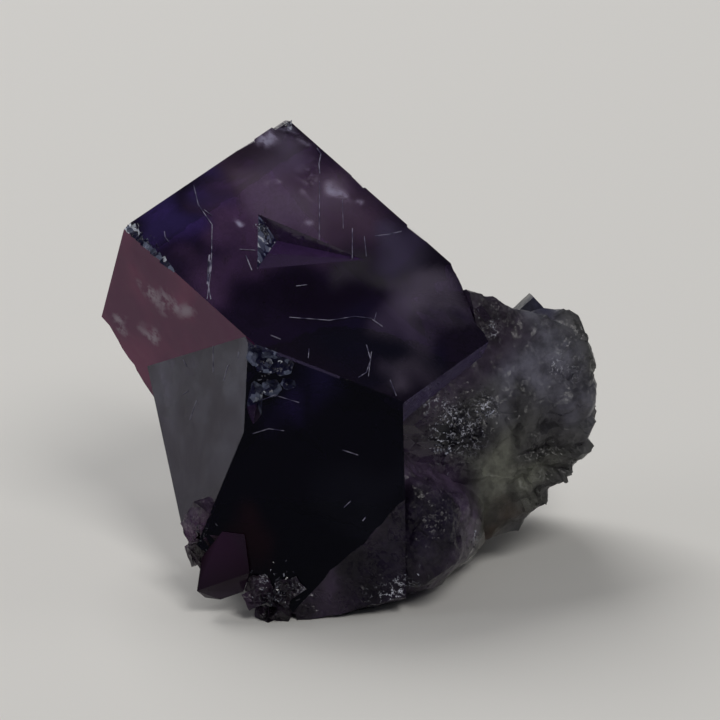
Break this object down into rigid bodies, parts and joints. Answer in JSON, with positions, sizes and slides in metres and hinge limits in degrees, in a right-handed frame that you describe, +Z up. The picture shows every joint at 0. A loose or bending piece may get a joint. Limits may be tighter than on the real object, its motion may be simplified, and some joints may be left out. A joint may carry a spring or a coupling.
{
  "type": "fluorite specimen",
  "caption": "Intergrown fluorite cubes, dark glassy purple with a cleavage-flat big face, grown on a broken green-grey mass, standing on its broken base.",
  "frame": {"origin": "centre of the bounding box at the level of the surface that the specimen stands on", "axes": "+Z up, -Y to the front, where the dark face of the second crystal looks, and +X to the right, where the broken mass is"},
  "size_m": [0.0454, 0.0376, 0.0375],
  "materials": {
    "fluorite": "glassy crystal faces, dark purple and see-through at thin edges, with rough cloudy green-grey broken stone at one side"
  },
  "bodies": {
    "root": {"fluorite_specimen": "fluorite"}
  },
  "joints": []
}
